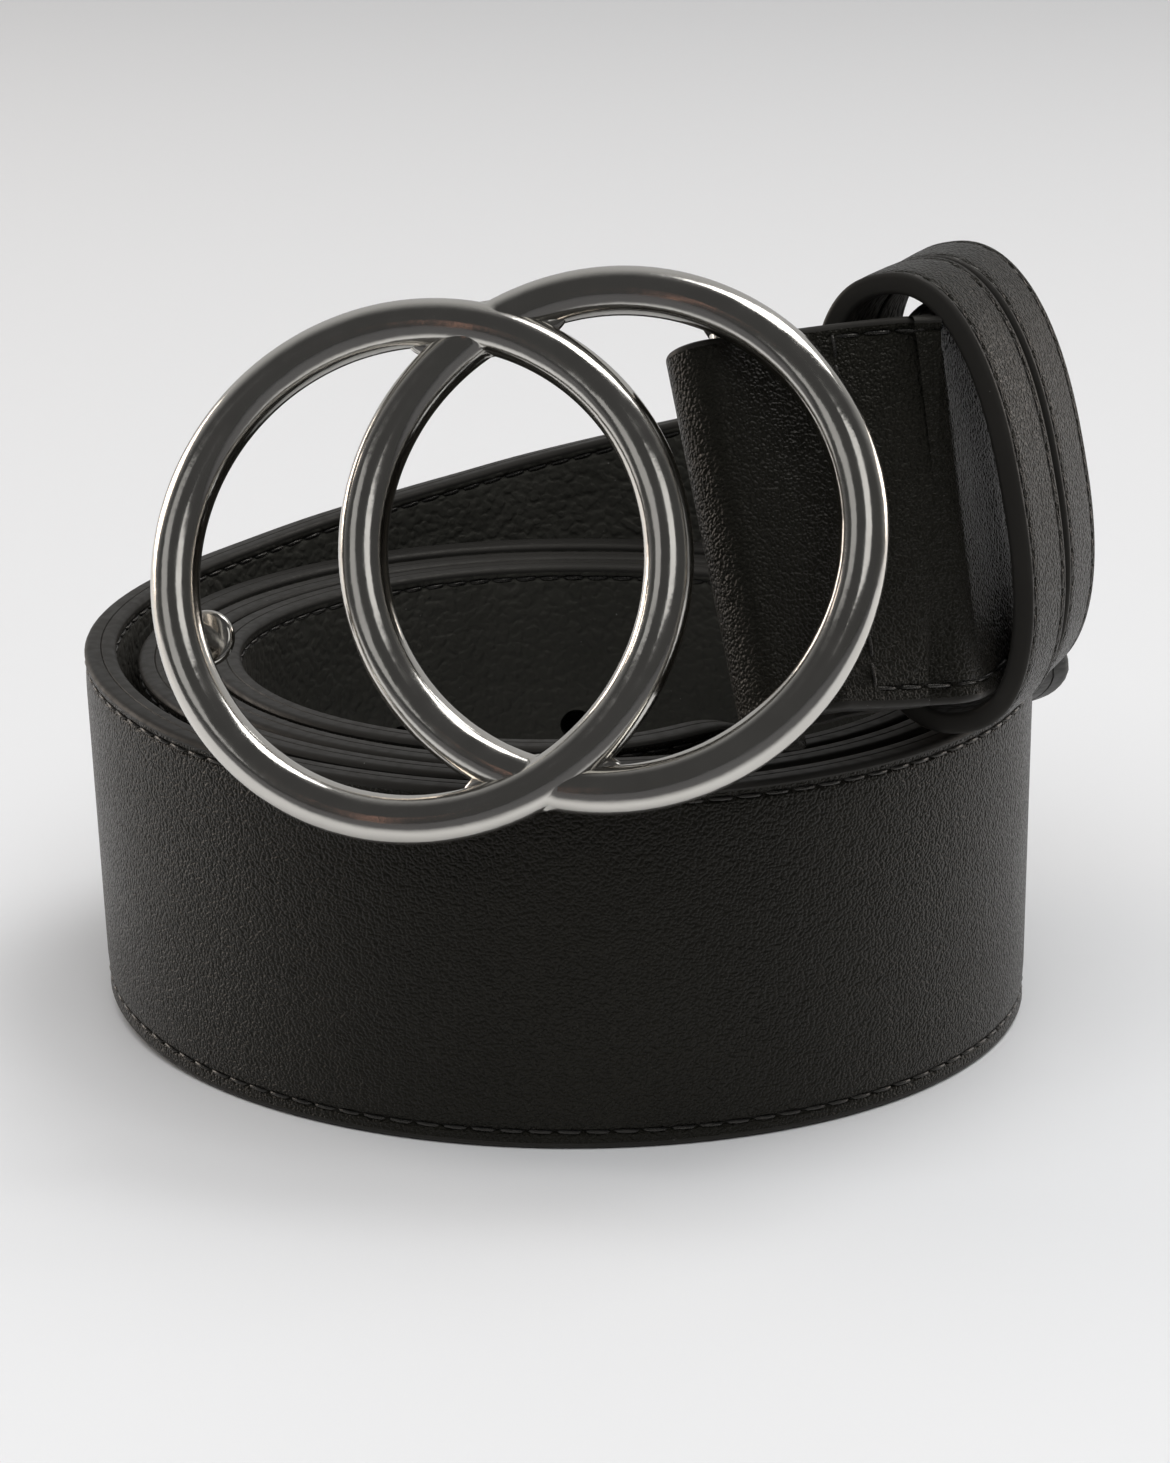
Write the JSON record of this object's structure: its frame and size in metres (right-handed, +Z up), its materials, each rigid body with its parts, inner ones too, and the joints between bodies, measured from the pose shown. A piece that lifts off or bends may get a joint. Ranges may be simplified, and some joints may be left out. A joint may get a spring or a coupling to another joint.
{
  "type": "ring buckle belt",
  "caption": "Coiled leather belt standing on its edge, with a cast double ring buckle on a folded end and sewn leather keeper loops.",
  "frame": {"origin": "middle of the box around the coiled belt, on the surface it stands on", "axes": "+Z up, -Y towards the rings and the viewer, +X towards the keepers"},
  "size_m": [0.1112, 0.1162, 0.0902],
  "materials": {
    "black_leather": "satin pebble grain",
    "dark_lining": "matte",
    "polished_alloy": "polished"
  },
  "bodies": {
    "belt": {"strap_face": "black_leather", "strap_lining": "dark_lining", "keeper_front": "black_leather", "keeper_back": "black_leather"},
    "buckle": {"ring_buckle": "polished_alloy"}
  },
  "joints": [
    {"name": "buckle_swing", "type": "hinge", "parent": "belt", "child": "buckle", "pos_m": [0.01781, -0.03895, 0.06436], "axis": [-0.1232, 0.4689, 0.8746], "range_deg": [0, 20]}
  ]
}
